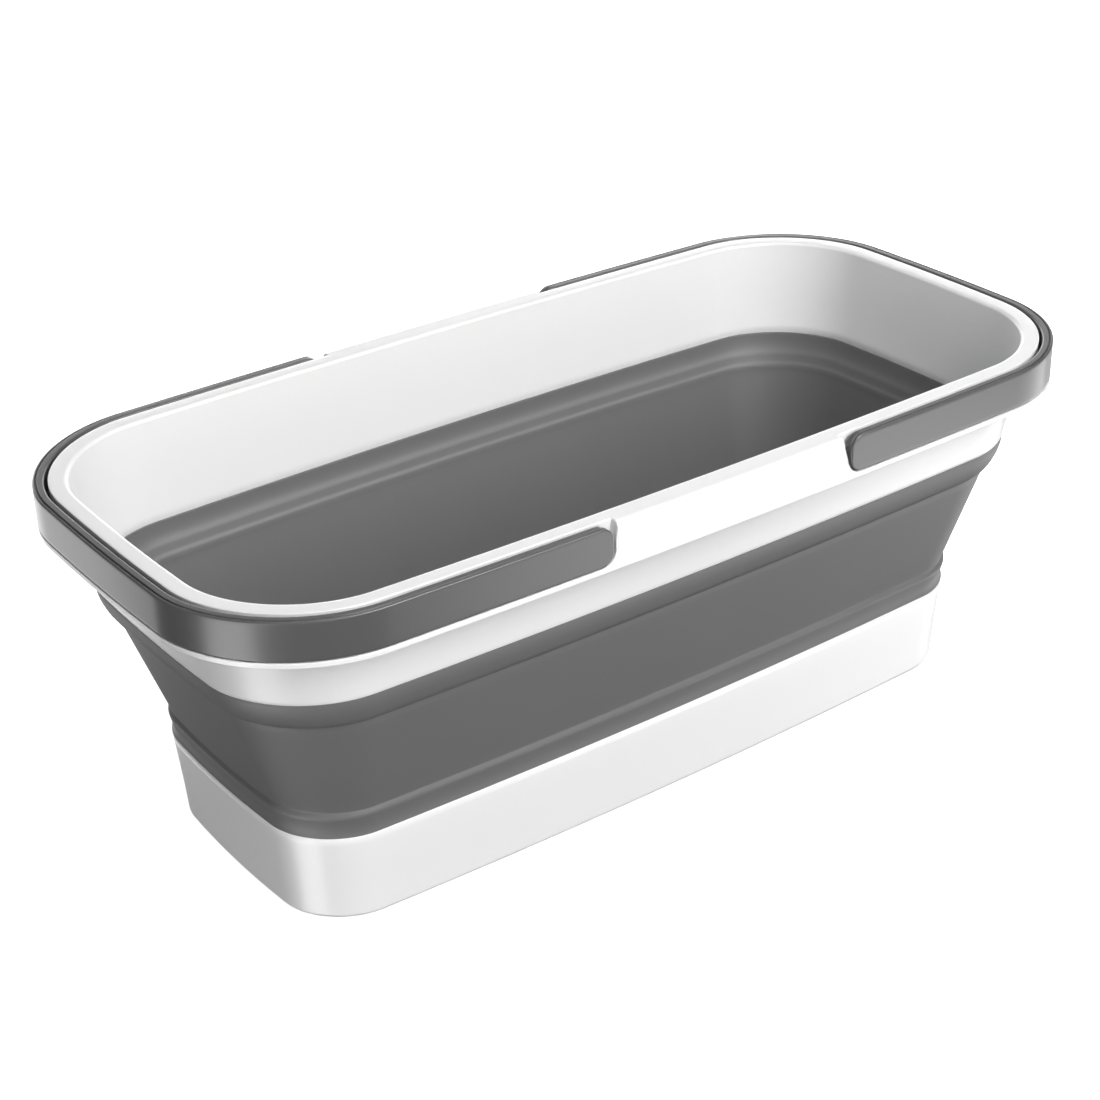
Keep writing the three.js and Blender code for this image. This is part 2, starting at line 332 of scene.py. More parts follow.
def skin(name, rings, material, closed=True):
    """An object whose rings are joined by quads.

    A path that isn't closed on itself gets a fan from each end ring to that ring's centre.
    """
    count, points = rings.shape[:2]
    vertices = rings.reshape(-1, 3)
    quads = ring_faces(count, points, closed)
    fans = np.empty((0, 3), int)
    if not closed:
        last = (count - 1) * points
        here = np.arange(points)
        after = (here + 1) % points
        low_pole = np.full(points, len(vertices))
        fans = np.concatenate(
            [
                np.stack([low_pole, after, here], axis=1),
                np.stack([low_pole + 1, last + here, last + after], axis=1),
            ]
        )
        vertices = np.concatenate([vertices, [rings[0].mean(0), rings[-1].mean(0)]])
    if signed_volume(vertices, quads) + signed_volume(vertices, fans) < 0:
        quads, fans = quads[:, ::-1], fans[:, ::-1]
    mesh = bpy.data.meshes.new(name)
    mesh.from_pydata(vertices.tolist(), [], quads.tolist() + fans.tolist())
    if mesh.validate():
        raise RuntimeError(f"{name} has faces that share all their corners")
    mesh.polygons.foreach_set("use_smooth", np.ones(len(mesh.polygons), bool))
    mesh.materials.append(material)
    piece = bpy.data.objects.new(name, mesh)
    bpy.context.scene.collection.objects.link(piece)
    return piece


# ---- Materials ----


def add_node(tree, kind, inputs, **settings):
    """Adds a node with its settings, and links or fills its inputs."""
    node = tree.nodes.new(kind)
    for key, value in settings.items():
        setattr(node, key, value)
    for key, value in inputs.items():
        if isinstance(value, bpy.types.NodeSocket):
            tree.links.new(value, node.inputs[key])
        else:
            node.inputs[key].default_value = value
    return node


FLOW_MARK = 60 * MM
ROUGHNESS_DRIFT = 0.03


def moulded_polymer(name, colour, roughness, grain, grain_depth, mottle, **shader):
    """A moulded polymer, its surface a fine grain left by the tool.

    The grain is a noise bump of the given size and depth. A much larger noise, the size of
    a flow mark, darkens the colour by up to the mottle's share and moves the roughness a little,
    as flow in the mould and handling do.
    """
    material = bpy.data.materials.new(name)
    material.use_nodes = True
    tree = material.node_tree
    tree.nodes.clear()
    place = add_node(tree, "ShaderNodeTexCoord", {}).outputs["Object"]
    flow = add_node(
        tree,
        "ShaderNodeTexNoise",
        {"Vector": place, "Scale": 1 / FLOW_MARK, "Detail": 2.0, "Roughness": 0.5},
    ).outputs["Fac"]
    deep = tuple(c * (1 - mottle) for c in colour[:3]) + (1.0,)
    # A Mix node set to colours has its two colours in sockets 6 and 7, and its result in 2.
    tint = add_node(
        tree,
        "ShaderNodeMix",
        {"Factor": flow, 6: deep, 7: tuple(colour)},
        data_type="RGBA",
    ).outputs[2]
    polish = add_node(
        tree,
        "ShaderNodeMapRange",
        {
            "Value": flow,
            "To Min": roughness - ROUGHNESS_DRIFT,
            "To Max": roughness + ROUGHNESS_DRIFT,
        },
    ).outputs["Result"]
    texture = add_node(
        tree,
        "ShaderNodeTexNoise",
        {"Vector": place, "Scale": 1 / grain, "Detail": 2.0, "Roughness": 0.6},
    ).outputs["Fac"]
    bump = add_node(
        tree,
        "ShaderNodeBump",
        {"Height": texture, "Strength": 1.0, "Distance": grain_depth},
    ).outputs["Normal"]
    surface = add_node(
        tree,
        "ShaderNodeBsdfPrincipled",
        {"Base Color": tint, "Roughness": polish, "Normal": bump} | shader,
    )
    add_node(tree, "ShaderNodeOutputMaterial", {"Surface": surface.outputs["BSDF"]})
    return material


def material_called(name, make):
    """The material of that name, made the first time that a piece asks for it."""
    return bpy.data.materials.get(name) or make(name)


def white_polypropylene(name):
    """Moulded white polypropylene: a bright satin surface with soft reflections."""
    f = finish()
    return moulded_polymer(name, f.white, f.gloss, 0.9 * MM, 0.003 * MM, 0.015, IOR=1.49)


def grey_polypropylene(name):
    """Moulded grey polypropylene: satin, with the fine grain of a spark-eroded tool."""
    return moulded_polymer(name, finish().grey, 0.29, 0.8 * MM, 0.002 * MM, 0.05, IOR=1.5)


def overmoulded_elastomer(name):
    """Thermoplastic elastomer: matt and slightly dusty to the eye, with no sharp highlight."""
    matt = {"Specular IOR Level": 0.35}
    return moulded_polymer(name, finish().soft_grey, 0.52, 0.7 * MM, 0.01 * MM, 0.06, **matt)


def silicone_rubber(name):
    """Silicone rubber: the same grey as the wall, matt, with a smooth moulded surface."""
    return moulded_polymer(name, finish().soft_grey, 0.5, 0.8 * MM, 0.005 * MM, 0.05, IOR=1.41)


def natural_acetal(name):
    """Natural acetal: a creamy white, hard and slippery, with a low gloss."""
    return moulded_polymer(name, linear("#e4e3dc"), 0.34, 0.6 * MM, 0.003 * MM, 0.02, IOR=1.48)


# ---- Sections of the rigid and soft mouldings ----

ledge_bottom = 162.2 * MM
ledge_top = 164.8 * MM
rim_bottom_inner = rim_low.z + 1.6 * MM
rim_foot_inner = 21.6 * MM
rim_foot_outer = 19.8 * MM
block_half_length = 65.5 * MM
pocket_end = 63.3 * MM
base_top_inset = 40.6 * MM
base_foot_inset = 43.5 * MM
base_wall = 2.4 * MM
TIP_RADIUS = 7 * MM
# Distance in from the top outer edge's round, and depth, of points across the handle's groove.
GROOVE = np.array(
    [(0.05, 0), (0.15, 0.1), (0.2, 1), (0.4, 1.2), (0.9, 1.2), (1.1, 1), (1.15, 0.1), (1.25, 0)]
) * MM


def smooth(t):
    """Smoothstep: 3 t squared minus 2 t cubed, with t held between 0 and 1."""
    t = np.clip(t, 0, 1)
    return t * t * (3 - 2 * t)


def level_run(places_mm, height):
    """Points (x, z) at places along a long side, all at one height."""
    return np.column_stack([np.array(places_mm) * MM, np.full(len(places_mm), height)])


def rim_path():
    """Stations round the rim, with the height of the ledge and the pocket share at each.

    Along a long side the ledge is at the top of the rim in the middle block. At the block's end
    it turns down over a small edge, drops nearly straight, and runs out in a round fillet into
    the low ledge that carries the handles. The pocket share is 1 where the block is hollow.
    """
    edge, fillet, draft = 1.0 * MM, 8 * MM, 1.5 * MM
    top = rim_high.z
    end = block_half_length
    block = level_run((0, 12, 24, 36, 48, 58, 61.6, 62.2, 63.2, 63.8), top)
    turn = np.radians(np.linspace(0, 90, 7))
    over = np.stack([end - edge + edge * np.sin(turn), top - edge + edge * np.cos(turn)], axis=1)
    drop_to = ledge_top + fillet
    share = np.linspace(0, 1, 7)[1:-1]
    drop = np.stack([end + draft * share, top - edge + (drop_to - top + edge) * share], axis=1)
    sweep = np.radians(np.linspace(0, 90, 13))
    out_x = end + draft + fillet * (1 - np.cos(sweep))
    out_z = drop_to - fillet * np.sin(sweep)
    run_out = np.stack([out_x, out_z], axis=1)
    side = level_run((76.6, 79, 84, 94, 107, 120, 134, 148, 162, 174), ledge_top)
    along_side = np.concatenate([block, over, drop, run_out, side])
    a, _, r = outline_size(0.0)
    along, across, angle = quarter_stations(side_steps=0, corner_steps=44, end_steps=10)
    count = len(along_side)
    quarter = (
        np.concatenate([along_side[:, 0] / (a - r), along]),
        np.concatenate([np.ones(count), across]),
        np.concatenate([np.full(count, np.pi / 2), angle]),
    )
    ledge = np.concatenate([along_side[:, 1], np.full(len(along), ledge_top)])
    in_pocket = smooth((pocket_end - along_side[:, 0]) / (1.2 * MM))
    hollow = np.concatenate([in_pocket, np.zeros(len(along))])
    return mirrored_round(quarter, ledge, hollow)


def rim_rings():
    """Rings of the rim: a section whose ledge height and channel width change along the path.

    Inner wall, round lip edge and lip top are the same all round. The wall behind the handles
    spans from the ledge to the lip, the ledge runs out to the face, and the face leans in with
    height. Below, an open channel or the block's pocket follows the outside at one wall's
    distance, and the inner wall's back curves down to the foot.
    """
    s = shape()
    station, ledge, hollow = rim_path()
    top, wall = rim_high.z, s.wall
    columns = []

    def column(inset, height):
        """One ring's inset and height, each a number or a value for every station."""
        columns.append(np.stack(np.broadcast_arrays(inset, height, ledge)[:2], axis=-1))

    def fixed(points):
        """Rings whose inset and height are the same all round."""
        for inset, height in points:
            column(inset, height)

    inner_top = s.lip_inner + 0.4 * MM
    lip_round = 2 * MM
    inner_wall = [
        (rim_foot_inner, rim_bottom_inner),
        (18.6 * MM, 155 * MM),
        (inner_top + 0.1 * MM, top - 3 * MM),
    ]
    fixed(curve_through(inner_wall, 5))
    fixed(arc(inner_top - lip_round, top - lip_round, lip_round, 0, 90, 8))
    fixed([(inner_top - 2.6 * MM, top), (11 * MM, top), (9.4 * MM, top)])

    # The wall behind the handles. On the block it has no height, and its rings lie side by side
    # on the flat top instead.
    drop = np.maximum(top - ledge, 0)
    lip_edge = np.minimum(drop, 0.5 * MM)
    aside = 1.9 * MM * (1 - smooth(drop / (2 * MM)))
    for turn in np.radians(np.linspace(90, 0, 5)):
        column(
            s.lip_outer + lip_edge * (1 - np.cos(turn)) + aside * (0.4 + 0.6 * np.sin(turn)),
            top - lip_edge * (1 - np.sin(turn)),
        )
    for share in (0.08, 0.5, 0.94):
        column(
            s.lip_outer + aside * 0.4 * (1 - share),
            top - lip_edge - (drop - lip_edge) * share,
        )

    # The ledge, its outer edge, which is rounder on the block, and the face.
    edge_starts = 172 * MM
    lean = 1.7 * MM * smooth((ledge - ledge_top) / (top - 3 * MM - ledge_top))
    edge = 0.5 * MM + 2.5 * MM * smooth((ledge - edge_starts) / (top - edge_starts))
    reach = lean + edge
    for share in (0.04, 0.3, 0.6, 0.9, 0.98):
        column(s.lip_outer + (reach - s.lip_outer) * share, ledge)
    for turn in np.radians(np.linspace(90, 180, 9)):
        column(reach + edge * np.cos(turn), ledge - edge + edge * np.sin(turn))
    for share in (0.25, 0.5, 0.75, 0.96):
        height = ledge - edge + (ledge_bottom + 0.5 * MM - ledge + edge) * share
        column(lean * (1 - share), height)
    foot_round = 0.4 * MM
    fixed(arc(foot_round, ledge_bottom + foot_round, foot_round, 180, 270, 4))

    # The channel under the lip, or the pocket in the block.
    pocket_wall = 2.1 * MM
    outer_back = (s.lip_outer + wall) * (1 - hollow) + pocket_wall * hollow
    for share in (0.1, 0.5, 0.92):
        column(foot_round + (outer_back - foot_round) * share, ledge_bottom)
    ceiling = top - wall
    back_lean = 2.1 * MM * hollow
    for share in (0.0, 0.05, 0.3, 0.6, 0.93, 1.0):
        column(outer_back + back_lean * share, ledge_bottom + (ceiling - ledge_bottom) * share)
    outer_top = outer_back + back_lean
    inner_side = s.lip_inner - 0.9 * wall
    for share in (0.1, 0.5, 0.9):
        column(outer_top + (inner_side - outer_top) * share, ceiling)
    inner_back = [
        (inner_side, ceiling),
        (inner_side + 0.9 * MM, 174 * MM),
        (inner_side + 2.2 * MM, ledge_bottom),
        (16.6 * MM, 150 * MM),
        (18.4 * MM, 140 * MM),
        (rim_foot_outer, rim_low.z + 0.5 * MM),
    ]
    fixed(curve_through(inner_back, 5))
    column(rim_foot_outer + 0.3 * MM, rim_low.z)
    column(rim_foot_inner - 0.4 * MM, rim_bottom_inner - 0.5 * MM)
    section = np.stack(columns)
    x, y = outline(section[..., 0], station)
    return np.stack([x, y, section[..., 1]], axis=-1)


def wall_section():
    """Closed section of the folding wall, its points given in millimetres.

    Outside, a full band under the rim ends in a fine groove, a straight panel follows, and over
    the base a bead stands proud above a cove. Inside, the skin follows at the wall's thickness,
    with two rounded ridges where the upper band turns into the panel.
    """
    outer_band = [(19.8, 131.9), (20.0, 129), (20.7, 125.6), (22.0, 121.8), (23.4, 118.9)]
    outer_groove = [(24.7, 117.3), (25.8, 116.7), (26.3, 116.0), (26.5, 115.0), (26.7, 113.8)]
    outer_bead = [(41.0, 61.2), (41.1, 60.4), (40.7, 59.5), (40.2, 58.3), (40.2, 57.0)]
    outer_cove = [(40.7, 54.4), (41.1, 51.4), (41.1, 48.8), (40.7, 46.9)]
    inner_foot = [(43.0, 46.9), (43.2, 52), (43.4, 56.5), (43.4, 59.5)]
    inner_ridges = [(29.0, 112.0), (28.6, 113.8), (28.3, 115.5), (27.8, 117.2), (26.8, 118.7)]
    inner_band = [(26.1, 120.5), (25.3, 122.6), (23.7, 125.2), (22.6, 128.5), (21.6, 133.5)]
    parts = [
        curve_through(outer_band + outer_groove, 6),
        line((27.0, 112.2), (40.8, 62.0), 34),
        curve_through(outer_bead + outer_cove, 6),
        curve_through(inner_foot, 5),
        line((43.1, 60.4), (29.1, 111.6), 34),
        curve_through(inner_ridges + inner_band, 6),
    ]
    return np.concatenate(parts) * MM


def base_section():
    """Closed section of the base tray, from the drain hole's edge round the wall and back.

    Its third column says how far each ring has moved from the outline (0) to the drain hole's
    circle (1).
    """
    top, under, floor = base_high.z, 2.8 * MM, 5.2 * MM
    foot, outer = base_low.z, base_foot_inset
    inner_foot = outer + base_wall
    middle = outer + 10.5 * MM
    foot_round, floor_round = 2.5 * MM, 8 * MM
    top_edge = 0.15 * MM

    def on_outline(points):
        points = np.atleast_2d(points)
        return np.column_stack([points, np.zeros(len(points))])

    def towards_drain(height, shares):
        return np.array([(middle, height, share) for share in shares])

    outside = [(outer, foot + foot_round), (42.4 * MM, 22 * MM), (base_top_inset, top - top_edge)]
    rounded_top = [
        (base_top_inset + top_edge, top),
        (base_top_inset + base_wall - 0.4 * MM, top),
    ]
    inner_top = (base_top_inset + base_wall, top - 0.5 * MM)
    parts = [
        towards_drain(under, (1.0, 0.985, 0.6, 0.25, 0.0)),
        on_outline([(outer + 9 * MM, under), (outer + 8.2 * MM, under - 0.2 * MM)]),
        on_outline([(outer + 7.6 * MM, foot + 0.4 * MM), (outer + 7 * MM, foot)]),
        on_outline(line((outer + 6 * MM, foot), (outer + 3 * MM, foot), 2)),
        on_outline(arc(outer + foot_round, foot + foot_round, foot_round, 270, 184, 7)),
        on_outline(curve_through(outside, 6)),
        on_outline(rounded_top),
        on_outline(line(inner_top, (inner_foot, floor + floor_round), 5)),
        on_outline(arc(inner_foot + floor_round, floor + floor_round, floor_round, 180, 270, 9)),
        towards_drain(floor, (0.02, 0.25, 0.6, 0.985, 1.0)),
    ]
    return np.concatenate(parts)


def base_rings():
    """Rings of the base tray: the outline, blended on the floor to the drain hole's circle.

    Each ring point runs straight from the outline towards the drain's centre and stops on the
    circle of the hole.
    """
    section = base_section()
    station = mirrored_round(quarter_stations(side_steps=18, corner_steps=30, end_steps=8))[0]
    rings = hoop(section[:, :2], station)
    centre = np.array([(seal_low.x + seal_high.x) / 2, 0.0])
    flange_overlap = 3.7 * MM
    radius = (seal_high.x - seal_low.x) / 2 - flange_overlap
    towards = rings[..., :2] - centre
    rim_point = centre + towards * radius / np.linalg.norm(towards, axis=-1, keepdims=True)
    share = section[:, 2, None, None]
    rings[..., :2] = rings[..., :2] * (1 - share) + rim_point * share
    return rings


def handle_path(end):
    """Stations along one handle, from tip to tip round its end of the tub (-1 left, 1 right).

    With them goes each station's distance from the nearer tip; round the end, where it no longer
    matters, it counts as 1 m. Stations are close together where the tip's corner circles turn.
    """
    tip_x = abs(handle_high.x) - 0.6 * MM
    a, _, r = outline_size(0.0)
    tip = TIP_RADIUS * (1 - np.cos(np.linspace(0, np.pi / 2, 22)))
    near = np.concatenate([tip, np.array([9, 13, 20, 30, 42, 54, 66, 78, 90, 100]) * MM])
    round_end = quarter_stations(side_steps=0, corner_steps=44, end_steps=12)
    along = np.concatenate([(tip_x + near) / (a - r), round_end[0]])
    across = np.concatenate([np.ones(len(near)), round_end[1]])
    angle = np.concatenate([np.full(len(near), np.pi / 2), round_end[2]])
    far = np.full(len(round_end[0]), 1.0)
    from_tip = np.concatenate([near, far])
    back = slice(-2, None, -1)
    along = end * np.concatenate([along, along[back]])
    across = np.concatenate([across, -across[back]])
    angle = np.concatenate([angle, -angle[back]])
    angle = angle if end > 0 else np.pi - angle
    return (along, across, angle), np.concatenate([from_tip, from_tip[back]])


def handle_rings(end):
    """Rings of one handle, from tip to tip round its end of the tub (-1 left, 1 right).

    Each ring is a rounded rectangle with a fine groove behind its top outer edge. Its height
    follows the tip's two corner circles, and near the very end its thickness closes by a small
    edge radius.
    """
    thickness = shape().handle_thickness
    station, from_tip = handle_path(end)
    half_height = (handle_high.z - handle_low.z) / 2
    fall = np.sqrt(np.maximum(TIP_RADIUS**2 - np.maximum(TIP_RADIUS - from_tip, 0) ** 2, 0))
    half = half_height - TIP_RADIUS + fall
    edge = 0.9 * MM
    closing = edge - np.sqrt(np.maximum(edge**2 - np.maximum(edge - from_tip, 0) ** 2, 0))
    half_thick = thickness / 2 - closing
    mid_z = (handle_high.z + handle_low.z) / 2
    mid_inset = thickness / 2
    corner = np.minimum(0.8 * MM, 0.9 * half_thick)
    shrink = np.minimum(half / half_height, half_thick / mid_inset)
    insets, heights = [], []
    corners = [(-1, 1), (1, 1), (1, -1), (-1, -1)]
    for number, (inward, up) in enumerate(corners):
        start = 180 - 90 * number
        for turn in np.radians(np.linspace(start, start - 90, 7)):
            insets.append(mid_inset + inward * (half_thick - corner) + corner * np.cos(turn))
            heights.append(mid_z + up * (half - corner) + corner * np.sin(turn))
        first = number == 0
        for across_top, depth in GROOVE if first else ():
            edge_inset = mid_inset - half_thick + corner
            insets.append(edge_inset + across_top * half_thick / mid_inset)
            heights.append(mid_z + half - depth * shrink)
        next_in, next_up = corners[(number + 1) % 4]
        for share in (0.4, 0.7, 0.92) if first else (0.08, 0.5, 0.92):
            mix_in = inward + (next_in - inward) * share
            mix_up = up + (next_up - up) * share
            across_flat = half_thick - corner if inward != next_in else half_thick
            up_flat = half - corner if up != next_up else half
            insets.append(mid_inset + mix_in * across_flat)
            heights.append(mid_z + mix_up * up_flat)
    x, y = outline(np.stack(insets, axis=1), tuple(part[:, None] for part in station))
    return np.stack([x, y, np.stack(heights, axis=1)], axis=-1)


def pin_profile():
    """Radius and depth of a pivot pin: a rounded head, a shank and a chamfered end."""
    head, shank = (pin_high.z - pin_low.z) / 2, 3 * MM
    back, front = pin_low.y, pin_low.y + 1.6 * MM
    chamfer, corner, head_round = 0.6 * MM, 0.2 * MM, 0.5 * MM
    dimple = [(1.6 * MM, back + 0.5 * MM), (1.9 * MM, back + 0.1 * MM), (2.3 * MM, back)]
    under_head = [(head, front - corner), (head - corner, front), (shank + corner, front)]
    stem = [
        (shank, front + corner),
        (shank, pin_high.y - chamfer),
        (shank - chamfer, pin_high.y),
    ]
    rounded = arc(head - head_round, back + head_round, head_round, -90, 0, 5)
    return np.concatenate([dimple, rounded, under_head, stem])


def seal_profile():
    """Closed profile of the drain seal: a flange above and below the tray's floor."""
    flange = (seal_high.x - seal_low.x) / 2
    neck, bore = flange - 4 * MM, flange - 5.6 * MM
    lower, low, high = neck + 3 * MM, seal_low.z, seal_high.z
    under_floor, over_floor = 2.7 * MM, 5.3 * MM
    return [
        (bore, low + 0.3 * MM),
        (bore + 0.3 * MM, low),
        (lower - 0.4 * MM, low),
        (lower, low + 0.4 * MM),
        (lower, under_floor - 0.1 * MM),
        (neck, under_floor),
        (neck, over_floor),
        (flange, over_floor),
        (flange, over_floor + 0.5 * MM),
        (flange - 0.5 * MM, high - 0.2 * MM),
        (flange - 1.2 * MM, high),
        (bore + 0.4 * MM, high),
        (bore, high - 0.4 * MM),
    ]


def stopper_profile(seat):
    """Profile of the plug's stopper: a stem in the seal, and a crowned cap on the seat."""
    reach = (plug_high.x - plug_low.x) / 2
    stem, foot, edge = reach - 4.6 * MM, plug_low.z, 0.8 * MM
    crown = [(reach - 2 * MM, seat + 1.7 * MM), (9 * MM, seat + 2 * MM), (3 * MM, seat + 1.8 * MM)]
    return np.concatenate(
        [
            [(stem - 4 * MM, foot + 1.2 * MM), (stem - 3 * MM, foot)],
            arc(stem - edge, foot + edge, edge, -90, 0, 5),
            [(stem, seat - 0.3 * MM), (stem + 0.3 * MM, seat), (reach - 0.5 * MM, seat)],
            arc(reach - edge, seat + edge, edge, -60, 90, 8),
            curve_through(crown, 6),
        ]
    )


def pull_tab_rings(centre, foot):
    """Rings of the plug's pull tab: a small oval section carried round an upright ellipse.

    The ellipse's lower part is inside the stopper, so the rest stands up as a loop. Its section
    is thicker across the tub than along the loop.
    """
    turn = np.linspace(0, np.pi * 2, 64, endpoint=False)[:, None]
    around = np.linspace(0, np.pi * 2, 16, endpoint=False)[None, :]
    half_length, rise = 6.4 * MM, (plug_high.z - foot) / 2 - 0.9 * MM
    middle = foot + rise + 0.9 * MM
    thick, wide = 1.1 * MM, 1.4 * MM
    out = 1 + thick * np.cos(around) / half_length
    x = centre[0] + half_length * np.cos(turn) * out
    z = middle + (rise + thick * np.cos(around) * 0.8) * np.sin(turn)
    y = centre[1] + wide * np.sin(around) * np.ones_like(turn)
    return np.stack([x, y, z], axis=-1)


def pad_profile():
    """Profile of a foot pad: three rings of grooves in its sole, and a rounded side."""
    radius, foot, top = (pad_high.x - pad_low.x) / 2, pad_low.z, pad_high.z
    groove_depth, edge = 0.5 * MM, 0.8 * MM
    grooves = [
        point
        for r in (2.2 * MM, 4.4 * MM, 6.6 * MM)
        for point in (
            (r - 0.6 * MM, foot),
            (r - 0.3 * MM, foot + groove_depth),
            (r, foot + groove_depth),
            (r + 0.3 * MM, foot),
        )
    ]
    side = arc(radius - edge, foot + edge, edge, -90, 0, 6)
    over = [(radius, top - 0.2 * MM), (radius - 0.2 * MM, top), (1 * MM, top)]
    return np.concatenate([grooves, side, over])


# ---- Operators, one for each piece or group of like pieces ----


class BATHTUB_OT_base_tray(bpy.types.Operator):
    """Base tray with its floor and drain hole"""

    bl_idname = "bathtub.base_tray"
    bl_label = "Base tray"

    def execute(self, context):
        white = material_called("moulded white polypropylene", white_polypropylene)
        tray = skin("base_tray_shell", base_rings(), white)
        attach(tray, "base")
        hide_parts("base_tray")
        return {"FINISHED"}


class BATHTUB_OT_folding_wall(bpy.types.Operator):
    """Soft wall that folds down between base and rim"""

    bl_idname = "bathtub.folding_wall"
    bl_label = "Folding wall"

    def execute(self, context):
        soft = material_called("overmoulded thermoplastic elastomer", overmoulded_elastomer)
        stations = quarter_stations(side_steps=18, corner_steps=34, end_steps=8)
        station = mirrored_round(stations)[0]
        wall = skin("folding_wall_skin", hoop(wall_section(), station), soft)
        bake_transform(wall)
        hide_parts("folding_wall")
        return {"FINISHED"}


class BATHTUB_OT_rim(bpy.types.Operator):
    """Rim with its lip, ledges and middle blocks"""

    bl_idname = "bathtub.rim"
    bl_label = "Rim"

    def execute(self, context):
        white = material_called("moulded white polypropylene", white_polypropylene)
        rim = skin("rim_ring", rim_rings(), white)
        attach(rim, "rim")
        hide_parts("rim")
        return {"FINISHED"}


class BATHTUB_OT_handles(bpy.types.Operator):
    """Both U-shaped handles"""

    bl_idname = "bathtub.handles"
    bl_label = "Handles"

    def execute(self, context):
        grey = material_called("moulded grey polypropylene", grey_polypropylene)
        for end, name in ((-1, "left_handle"), (1, "right_handle")):
            handle = skin(f"{name}_band", handle_rings(end), grey, closed=False)
            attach(handle, name)
            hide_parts(name)
        return {"FINISHED"}


class BATHTUB_OT_pivot_pins(bpy.types.Operator):
    """Headed pins that the handles turn on"""

    bl_idname = "bathtub.pivot_pins"
    bl_label = "Pivot pins"

    def execute(self, context):
        acetal = material_called("natural acetal", natural_acetal)
        rings = turned(pin_profile(), (0.0, 0.0), 48)
        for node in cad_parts:
            if not node.startswith("pivot_pin"):
                continue
            low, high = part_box(node)
            side = 1 if low.y > 0 else -1
            x, z = (low.x + high.x) / 2, (low.z + high.z) / 2
            # The profile's own axis is turned from upright to across the tub.
            placed = np.stack([rings[..., 0] + x, side * rings[..., 2], rings[..., 1] + z], axis=-1)
            pin = skin(f"{node}_turned", placed, acetal, closed=False)
            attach(pin, "rim")
            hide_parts(node)
        return {"FINISHED"}


class BATHTUB_OT_drain(bpy.types.Operator):
    """Drain seal and the plug that lies in it"""

    bl_idname = "bathtub.drain"
    bl_label = "Drain"

    def execute(self, context):
        silicone = material_called("moulded silicone rubber", silicone_rubber)
        centre = ((seal_low.x + seal_high.x) / 2, 0.0)
        seal = skin("drain_seal_ring", turned(seal_profile(), centre), silicone)
        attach(seal, "base")
        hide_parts("drain_seal")
        seat = seal_high.z + 0.1 * MM
        stopper = turned(stopper_profile(seat), centre)
        plug = skin("drain_plug_stopper", stopper, silicone, closed=False)
        tab = skin("drain_plug_tab", pull_tab_rings(centre, seat + 1 * MM), silicone)
        for piece in (plug, tab):
            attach(piece, "plug")
        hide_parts("drain_plug")
        return {"FINISHED"}


class BATHTUB_OT_foot_pads(bpy.types.Operator):
    """Four anti-slip pads under the base"""

    bl_idname = "bathtub.foot_pads"
    bl_label = "Foot pads"

    def execute(self, context):
        silicone = material_called("moulded silicone rubber", silicone_rubber)
        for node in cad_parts:
            if not node.startswith("foot_pad"):
                continue
            low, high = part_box(node)
            centre = ((low.x + high.x) / 2, (low.y + high.y) / 2)
            disc = turned(pad_profile(), centre, 48)
            pad = skin(f"{node}_disc", disc, silicone, closed=False)
            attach(pad, "base")
            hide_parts(node)
        return {"FINISHED"}


# ---- Stage ----


def softbox(name, azimuth, elevation, distance, size, radiance, gloss_only=False):
    """A rectangular soft light that faces the tub.

    It stands at an azimuth from +X, an elevation and a distance, all from the middle of the tub.
    One for gloss only is a card that shows in reflections and lights nothing else.
    """
    data = bpy.data.lights.new(name, "AREA")
    data.shape = "RECTANGLE"
    data.size, data.size_y = size
    data.energy = radiance * math.pi * size[0] * size[1]
    light = bpy.data.objects.new(name, data)
    light.visible_camera = False
    light.visible_diffuse = not gloss_only
    bpy.context.scene.collection.objects.link(light)
    turn, rise = math.radians(azimuth), math.radians(elevation)
    back = np.array(
        [math.cos(turn) * math.cos(rise), math.sin(turn) * math.cos(rise), math.sin(rise)]
    )
    right = np.array([-math.sin(turn), math.cos(turn), 0.0])
    axes = np.column_stack([right, np.cross(back, right), back])
    place = back * distance + (0, 0, 0.12)
    light.matrix_world = Matrix.Translation(place.tolist()) @ Matrix(axes.tolist()).to_4x4()
    return light


def studio_camera():
    """Camera above the front left corner, rolled slightly, on a moderate telephoto lens."""
    azimuth, elevation, roll = math.radians(-35.824), math.radians(28.004), math.radians(-1.577)
    distance, along, above = 1134.3 * MM, -14.4 * MM, 87.3 * MM
    back = np.array(
        [
            math.sin(azimuth) * math.cos(elevation),
            -math.cos(azimuth) * math.cos(elevation),
            math.sin(elevation),
        ]
    )
    level = np.array([math.cos(azimuth), math.sin(azimuth), 0.0])
    upright = np.cross(back, level)
    right = math.cos(roll) * level + math.sin(roll) * upright
    up = math.cos(roll) * upright - math.sin(roll) * level
    place = right * along + up * above + back * distance
    data = bpy.data.cameras.new("studio_camera")
    data.sensor_width = 36.0
    data.lens = 71.97
    data.clip_start, data.clip_end = 0.05, 50.0
    camera = bpy.data.objects.new("studio_camera", data)
    bpy.context.scene.collection.objects.link(camera)
    axes = np.column_stack([right, up, back])
    camera.matrix_world = Matrix.Translation(place.tolist()) @ Matrix(axes.tolist()).to_4x4()
    bpy.context.scene.camera = camera


